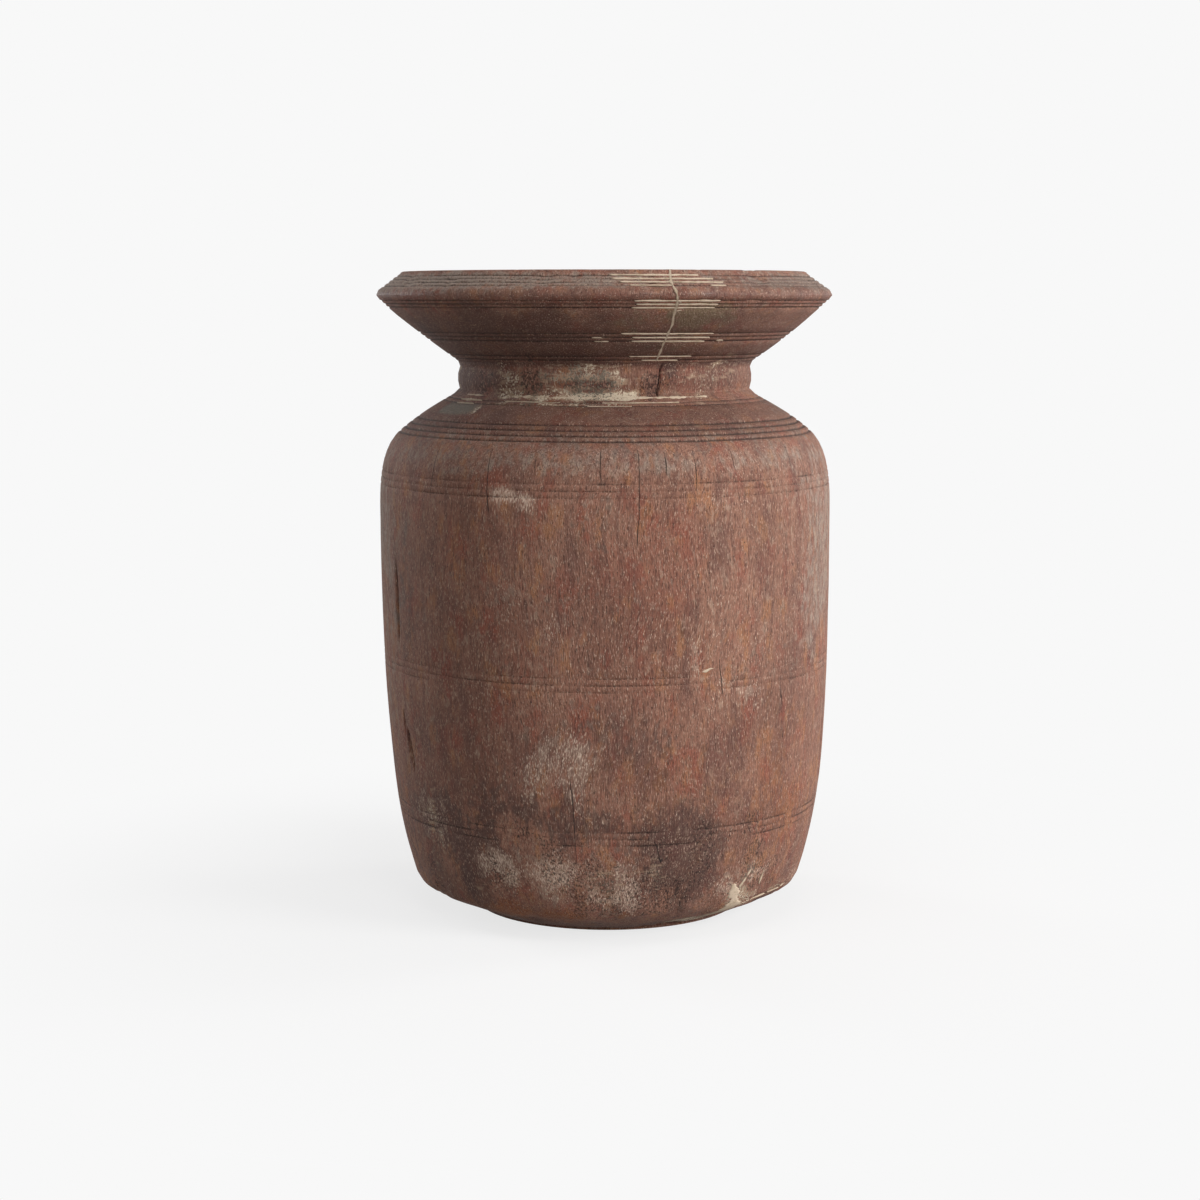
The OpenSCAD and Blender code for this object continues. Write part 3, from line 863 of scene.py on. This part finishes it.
    def build(self) -> bpy.types.Object:
        """Lays the grid over the outline, moves it by the wear and dresses it."""
        o = self.outline
        rows, columns = self.rows(), self.columns()
        length, angle = np.meshgrid(rows, columns, indexing="ij")
        at = o.place(angle, length)
        height = o.height(length)
        outer = window(length, o.marks["foot_side"], o.marks["bevel"], 2)
        cut, groove_shade_and_grime = (v * outer for v in self._grooves(at, length))
        check_depth, check_place, check_strength = self._checks(angle, length, at)
        neck = window(height, o.slope_z + 2, o.neck_z - 1, 2) * outer
        base = window(height, 4, 34, 10) * outer
        crown = window(length, o.marks["flare"], o.marks["mouth"], 2)
        lift = o.swell(angle, length) - cut - check_depth
        lift += neck * 0.55 * cloud(at, 7, 21, 2)
        lift -= base * 1.6 * rise(cloud(at, 20, 22, 3), 0.12, 0.5)
        lift -= crown * (0.1 + 0.7 * rise(cloud(at, 9, 23, 2), 0.18, 0.5))
        inner = rise(length, o.marks["bore"], o.marks["bore"] + 20)
        lift += inner * 0.35 * np.sin(2 * np.pi * (length / 9 + angle / 360))
        grid = o.place(angle, length, lift)
        vertices = np.vstack([o.place(0, 0), grid.reshape(-1, 3), o.place(0, o.lengths[-1])])
        faces = self._faces(len(rows), len(columns))
        shaped = {
            "groove": groove_shade_and_grime, "check_place": check_place, "check_strength": check_strength,
        }
        for name in self.spots:
            shaped[name] = self._spots(angle, length, at, name)
        attributes = {k: np.concatenate([v.reshape(-1)[:1], v.reshape(-1), v.reshape(-1)[-1:]])
                      for k, v in shaped.items()}
        return new_piece("jar_wood", vertices, faces, HARDWOOD.material(),
                         ("jar_body",), attributes)

    @staticmethod
    def _faces(row_count: int, column_count: int) -> list[list[int]]:
        """Faces of the closed grid: quads between rows and a fan round each pole."""
        number = 1 + np.arange(row_count * column_count).reshape(row_count, column_count)
        right = np.roll(number, -1, axis=1)
        quads = np.stack([number[:-1], right[:-1], right[1:], number[1:]], axis=-1)
        low = np.stack([0 * number[0], right[0], number[0]], axis=-1)
        last = row_count * column_count + 1
        high = np.stack([number[-1], right[-1], 0 * number[0] + last], axis=-1)
        return quads.reshape(-1, 4).tolist() + low.tolist() + high.tolist()


@dataclass(frozen=True)
class Deposit:
    """A deposit of putty along a line, given as angle and arc length of its points."""

    angles: tuple[float, ...]
    lengths: tuple[float, ...]
    half_w: tuple[float, ...]
    proud: float = 0.16
    ragged: float = 0.3
    breaks: float = 0.0
    dust: float = 0.0
    seam: float = 0.0
    seed: int = 0
    step: float = 0.9


@dataclass
class PuttyMends:
    """The putty that a mender pressed into the split rim, the grooves and the base."""

    outline: LogOutline
    sink: float = 1.0
    putty: bpy.types.Material = field(default_factory=FILLER.material)

    def ribbon(self, spec: Deposit) -> tuple[np.ndarray, np.ndarray, np.ndarray]:
        """A closed ribbon along a line on the surface.

        Five points lie across its crowned top and two under it. The width is the
        deposit's own, made ragged by noise, and squeezed to nothing where it breaks.

        Returns:
            Vertices, faces and the darkness of the seam per vertex.
        """
        o = self.outline
        angles, lengths = np.array(spec.angles), np.array(spec.lengths)
        radius = o.radius(lengths)
        walked = np.hypot(np.diff(np.radians(angles)) * (radius[1:] + radius[:-1]) / 2,
                          np.diff(lengths))
        walked = np.concatenate([[0], np.cumsum(walked)])
        count = max(int(walked[-1] / spec.step), 6)
        along = np.linspace(0, walked[-1], count)
        angle, length = np.interp(along, walked, angles), np.interp(along, walked, lengths)
        half = np.interp(along, walked, spec.half_w)
        marker = np.stack([along, 0 * along + 17.3 * spec.seed, 0 * along], axis=-1)
        half = half * (1 + spec.ragged * 1.7 * cloud(marker, 4, 3, 3))
        half = half * (1 - spec.breaks * rise(cloud(marker, 11, 5, 3), 0.3 - 0.4 * spec.breaks,
                                              0.5 - 0.4 * spec.breaks))
        ends = np.minimum(along, walked[-1] - along)
        half = np.maximum(half * (0.25 + 0.75 * rise(ends, -0.1, 2.0)), 0.04)
        turn = np.gradient(np.radians(angle)) * o.radius(length)
        climb = np.gradient(length)
        size = np.hypot(turn, climb)
        across = np.array([-1, -0.62, 0, 0.62, 1, 0.5, -0.5])
        crown = np.array([-0.12, 0.75, 1, 0.75, -0.12, 0, 0])
        deep = np.array([0, 0, 0, 0, 0, 1, 1])
        side = across[None] * half[:, None]
        wobble = 0.25 * cloud(np.stack([along, 0 * along + 9.1 * spec.seed + 50, 0 * along],
                                       axis=-1), 5, 4, 2)[:, None]
        side = side + wobble * (spec.half_w[0] > 0.5)
        angle2 = angle[:, None] + np.degrees(-climb / size / o.radius(length))[:, None] * side
        length2 = length[:, None] + (turn / size)[:, None] * side
        thick = np.minimum(spec.proud, half * 0.45)[:, None]
        lift = o.swell(angle2, length2) + crown[None] * thick - deep[None] * self.sink
        vertices = o.place(angle2, length2, lift).reshape(-1, 3)
        vertices[:, 2] = np.minimum(vertices[:, 2], o.top_z)
        ring = len(across)
        number = np.arange(count * ring).reshape(count, ring)
        right = np.roll(number, -1, axis=1)
        quads = np.stack([number[:-1], right[:-1], right[1:], number[1:]], axis=-1)
        dark = spec.dust + spec.seam * rise(-across, 0.2, 0.9)[None] * np.ones((count, 1))
        faces = quads.reshape(-1, 4).tolist() + [number[0][::-1].tolist(), number[-1].tolist()]
        first = vertices[quads.reshape(-1, 4)]
        volume = np.einsum("ij,ij->i", first[:, 0], np.cross(first[:, 1], first[:, 2])).sum()
        volume += np.einsum("ij,ij->i", first[:, 0], np.cross(first[:, 2], first[:, 3])).sum()
        if volume < 0:
            faces = [f[::-1] for f in faces]
        return vertices, faces, dark.reshape(-1)

    def build(self, name: str, deposits: list[Deposit], stands_for: tuple[str, ...]
              ) -> bpy.types.Object:
        """Joins deposits into one piece of putty."""
        vertices, faces, seams, start = [], [], [], 0
        for spec in deposits:
            points, polygons, dark = self.ribbon(spec)
            vertices.append(points)
            faces += [[v + start for v in f] for f in polygons]
            seams.append(dark)
            start += len(points)
        return new_piece(name, np.vstack(vertices), faces, self.putty, stands_for,
                         {"seam": np.concatenate(seams)})

    def line(self, start: float, end: float, height: float, half_w: float, seed: int,
             **more: float) -> Deposit:
        """Putty left in a groove at a height, from one angle to another."""
        at = float(self.outline.length_at(height))
        angles = tuple(np.linspace(start, end, 12).tolist())
        return Deposit(angles, (at,) * 12, (half_w,) * 12, seed=seed, **more)

    def trail(self, points: list[tuple[float, float]], half_w: list[float], seed: int,
              **more: float) -> Deposit:
        """Putty along a line of places on the outside, each an angle and a height."""
        angles = tuple(p[0] for p in points)
        lengths = tuple(float(self.outline.length_at(p[1])) for p in points)
        return Deposit(angles, lengths, tuple(half_w), seed=seed, **more)

    def build_all(self) -> None:
        """Builds every mend; each but the stray groove fleck takes the place of its own CAD
        node.
        """
        o = self.outline
        self._split()
        bevel = o.nose_z + 2
        self.build("bevel_groove_filler", [
            self.line(1.4, 24.9, bevel + 6, 0.6, 1, breaks=0.5),
            self.line(1.8, 28.5, bevel + 4, 0.62, 2, breaks=0.4),
            self.line(3.7, 30.7, bevel + 2, 0.56, 3, breaks=0.5),
            self.line(6, 16.6, bevel, 0.5, 4, breaks=0.5),
            self.line(26.4, 30.8, bevel, 0.5, 5, breaks=0.3),
        ], ("bevel_groove_putty",))
        edge = o.flare_z - 3.4
        self.build("edge_groove_filler", [
            self.line(7, 28.6, edge + 4, 0.62, 6, breaks=0.3),
            self.line(7.6, 28.6, edge + 2, 0.6, 7, breaks=0.4),
            self.line(6.6, 28.2, edge, 0.68, 8, breaks=0.4),
        ], ("edge_groove_putty",))
        flare = o.neck_z + 13.2
        self.build("flare_groove_filler", [
            self.line(4.4, 33, flare + 4.5, 0.62, 9, breaks=0.4),
            self.line(7.8, 32.6, flare + 2.25, 0.66, 10, breaks=0.3),
            self.line(7.7, 31.7, flare, 0.68, 11, breaks=0.4),
            self.line(-4.2, -1.4, flare + 2.25, 0.5, 12, breaks=0.6),
            self.line(-3.6, 0.8, flare, 0.5, 13, breaks=0.6),
            self.line(35.7, 38.6, flare + 0.6, 0.8, 14, breaks=0.6, ragged=0.9),
        ], ("flare_groove_putty",))
        foot = o.neck_z + 1.7
        self.build("flare_foot_filler", [
            self.line(8, 31, foot + 2.4, 0.52, 15, breaks=0.6),
            self.line(12.7, 26.5, foot, 0.56, 16, breaks=0.6),
        ], ("flare_foot_putty",))
        self.build("neck_foot_filler", [
            self.line(-42, 41, o.slope_z + 1.3, 0.8, 17, breaks=0.75, ragged=1.2, dust=0.2),
            self.line(-38, -16, o.slope_z - 1.4, 0.42, 18, breaks=0.9, ragged=0.8),
            self.line(-1, 27, o.slope_z - 1.4, 0.36, 19, breaks=0.9, ragged=0.8),
            self.line(-6, 9, o.slope_z - 3.3, 0.26, 39, breaks=0.9, ragged=0.6),
            self.line(-66, -50, o.slope_z + 1.2, 0.5, 40, breaks=0.85, ragged=0.8),
            self.line(-65, -50, o.slope_z - 1.4, 0.5, 41, breaks=0.6, ragged=0.8),
            self.line(-64, -52, o.slope_z - 3.4, 0.4, 42, breaks=0.8, ragged=0.8),
        ], ("neck_foot_putty",))
        self._base()

    def _split(self) -> None:
        """Putty in the split: up the flare, over the nose, bevel and lip, down the funnel."""
        o = self.outline
        seen = [(18.3, 346.6), (18.2, 353), (18, 357), (18.2, 361), (18.1, 365),
                (18.4, 369), (17.9, 373.8), (17.8, 379.5), (17.4, 383.2), (16.8, 387.2),
                (16.5, 391.3), (16.6, 394.6), (17.2, 398.6)]
        lengths = [float(o.length_at(z)) for _, z in seen]
        beyond = [o.marks["lip"], o.marks["mouth"], o.marks["mouth"] + 18,
                  o.marks["mouth"] + 38, o.marks["funnel"] - 4]
        angles = [a for a, _ in seen] + [17.7, 18, 18.9, 17.6, 18.4]
        half = [0.5, 0.6, 0.6, 0.65, 0.7, 0.75, 0.85, 0.95, 1.15, 1.25, 1.25, 1.15, 1.1,
                1.1, 1.1, 1, 0.8, 0.6]
        self.build("rim_crack_filler", [
            Deposit(tuple(angles), tuple(lengths + beyond), tuple(half), proud=0.22,
                    ragged=0.7, dust=0.36, seam=0.5, seed=20, step=0.6),
            self.trail([(18.2, 377), (19.6, 377.6)], [0.9, 0.3], 21),
            self.trail([(17.5, 383), (18.6, 381.8)], [0.9, 0.3], 22),
        ], ("rim_crack_putty",))

    def _base(self) -> None:
        """Putty on the chipped base corner, in the nick beside it, and a stray fleck."""
        self.build("base_chip_filler", [
            self.trail([(36.4, 8.5), (37.4, 12), (38.8, 18), (38.6, 23), (37.8, 28),
                        (37.2, 33)], [3, 5, 7.4, 6.2, 4.4, 3], 30, ragged=0.8, proud=0.3,
                       dust=0.32, step=0.6),
            self.trail([(41, 17.5), (44, 18.4), (47.5, 19.6), (52.5, 20.5)],
                       [2.6, 1.6, 0.8, 0.4], 31, ragged=1.2, proud=0.2, breaks=0.95, dust=0.2,
                       step=0.6),
            self.trail([(39.6, 30), (41, 34), (42.2, 38), (43, 41.6)],
                       [1.1, 0.9, 0.9, 0.3], 32, ragged=1.2, breaks=0.6, step=0.6),
            self.trail([(47.8, 29), (48.3, 34), (48.7, 40)], [0.45, 0.7, 0.3], 33,
                       ragged=1.2, step=0.6),
            self.trail([(54, 20.5), (57.5, 20.6), (60.7, 20.7)], [0.4, 0.6, 0.3], 34,
                       ragged=1.2, breaks=0.95),
            self.trail([(61.6, 21), (63.9, 21.8)], [0.4, 0.3], 35, ragged=1.2, breaks=0.9),
        ], ("base_chip_putty",))
        self.build("base_nick_filler", [
            self.trail([(26.6, 7.6), (28.4, 8.4), (30, 8)], [0.9, 2, 0.6], 36, ragged=0.9),
            self.trail([(32, 6), (35, 5.4), (36.5, 5)], [0.5, 1.1, 0.4], 37, ragged=0.9),
        ], ("base_nick_putty",))
        self.build("groove_fleck", [
            self.trail([(23.4, 167.2), (24.6, 167.6), (25.6, 168.8), (26.6, 168.9)],
                       [0.5, 0.8, 0.6, 0.3], 38, ragged=0.6),
        ], ())


@dataclass
class Studio:
    """Pale floor, soft light and the camera at the photograph's angle."""

    backdrop: str = "f8f8f8"
    photo_px: float = 1200
    focal_px: float = 2385
    axis_px: float = 604.2
    pitch_deg: float = 7.17
    distance: float = 1510.6
    camera_z: float = 383.5
    sensor_mm: float = 36

    def build(self) -> None:
        """Makes the floor, the world, the lamps and the camera."""
        self._floor()
        self._world()
        self._lamps()
        self._camera()
        bpy.context.scene.view_settings.view_transform = "Standard"

    @staticmethod
    def _seen(tree: bpy.types.NodeTree) -> bpy.types.NodeSocket:
        """1 for rays that show the background: camera, glossy and transmission rays."""
        path = add_node(tree, "ShaderNodeLightPath")
        shiny = add_node(tree, "ShaderNodeMath",
                         links={0: path.outputs["Is Glossy Ray"],
                                1: path.outputs["Is Transmission Ray"]}, operation="MAXIMUM")
        return add_node(tree, "ShaderNodeMath",
                        links={0: path.outputs["Is Camera Ray"], 1: shiny.outputs[0]},
                        operation="MAXIMUM").outputs[0]

    def _floor(self) -> None:
        """A wide pale floor. The camera sees it plain, with the jar's shadow near the foot."""
        half = 6.0
        mesh = bpy.data.meshes.new("studio_floor")
        mesh.from_pydata([(-half, -half, 0), (half, -half, 0), (half, half, 0),
                          (-half, half, 0)], [], [(0, 1, 2, 3)])
        floor = bpy.data.objects.new("studio_floor", mesh)
        bpy.context.scene.collection.objects.link(floor)
        paper = bpy.data.materials.new("backdrop_paper_matt")
        paper.use_nodes = True
        tree = paper.node_tree
        tree.nodes.clear()
        pale = add_node(tree, "ShaderNodeBsdfDiffuse", {"Color": colour("f8f8f8")})
        bounce = add_node(tree, "ShaderNodeBsdfDiffuse", {"Color": colour("a8a6a4")})
        plain = add_node(tree, "ShaderNodeEmission", {"Color": colour(self.backdrop)})
        place = add_node(tree, "ShaderNodeTexCoord")
        away = add_node(tree, "ShaderNodeVectorMath", links={0: place.outputs["Object"]},
                        operation="LENGTH")
        fade = add_node(tree, "ShaderNodeMapRange", {"From Min": 0.16, "From Max": 0.5,
                        "To Min": 0.8, "To Max": 1.0}, {"Value": away.outputs["Value"]},
                        interpolation_type="SMOOTHSTEP")
        shown = add_node(tree, "ShaderNodeMixShader", links={0: fade.outputs[0],
                         1: pale.outputs[0], 2: plain.outputs[0]})
        shader = add_node(tree, "ShaderNodeMixShader", links={0: self._seen(tree),
                          1: bounce.outputs[0], 2: shown.outputs[0]})
        add_node(tree, "ShaderNodeOutputMaterial", links={"Surface": shader.outputs[0]})
        mesh.materials.append(paper)

    def _world(self) -> None:
        """Dim even light for the jar, and the plain backdrop for the camera."""
        world = bpy.data.worlds.new("studio_air")
        bpy.context.scene.world = world
        world.use_nodes = True
        tree = world.node_tree
        tree.nodes.clear()
        fill = add_node(tree, "ShaderNodeBackground", {"Color": colour("ffffff"),
                                                       "Strength": 0.17})
        plain = add_node(tree, "ShaderNodeBackground", {"Color": colour(self.backdrop),
                                                        "Strength": 1.0})
        mixed = add_node(tree, "ShaderNodeMixShader", links={0: self._seen(tree),
                         1: fill.outputs[0], 2: plain.outputs[0]})
        add_node(tree, "ShaderNodeOutputWorld", links={"Surface": mixed.outputs[0]})

    @staticmethod
    def _lamps() -> None:
        """A broad key from the right and above, and a weak rim light from the left."""
        lamps = (
            ("key_softbox", (2.35, -1.3, 1.15), 1.3, 60, (1.0, 0.985, 0.97)),
            ("right_strip", (2.2, 0.8, 0.8), 0.8, 24, (1.0, 0.99, 0.98)),
            ("left_strip", (-1.8, 1.5, 0.8), 0.8, 18, (0.97, 0.985, 1.0)),
            ("front_fill", (0.8, -2.4, 1.0), 1.0, 17, (1.0, 1.0, 1.0)),
            ("top_panel", (0.0, -0.6, 2.6), 1.6, 15, (1.0, 1.0, 1.0)),
        )
        for name, place, size, power, tint in lamps:
            data = bpy.data.lights.new(name, "AREA")
            data.shape, data.size, data.energy, data.color = "DISK", size, power, tint
            lamp = bpy.data.objects.new(name, data)
            lamp.location = place
            aim = Vector((0, 0, 0.2)) - Vector(place)
            lamp.rotation_euler = aim.to_track_quat("-Z", "Y").to_euler()
            bpy.context.scene.collection.objects.link(lamp)

    def _camera(self) -> None:
        """A camera with the photograph's field of view, place and downward pitch."""
        data = bpy.data.cameras.new("photo_camera")
        data.sensor_width = self.sensor_mm
        data.lens = self.focal_px / self.photo_px * self.sensor_mm
        data.clip_start, data.clip_end = 0.05, 50
        camera = bpy.data.objects.new("photo_camera", data)
        side = (self.axis_px - self.photo_px / 2) * self.distance / self.focal_px
        camera.location = (-side * MM, -self.distance * MM, self.camera_z * MM)
        camera.rotation_euler = (np.radians(90 - self.pitch_deg), 0, 0)
        bpy.context.scene.collection.objects.link(camera)
        bpy.context.scene.camera = camera


def main() -> None:
    """Builds the jar, its mends and the studio."""
    logging.basicConfig(level=logging.INFO, format="%(name)s %(message)s")
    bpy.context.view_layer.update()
    outline = LogOutline()
    TurnedLog(outline).build()
    PuttyMends(outline).build_all()
    Studio().build()


if __name__ == "__main__":
    main()
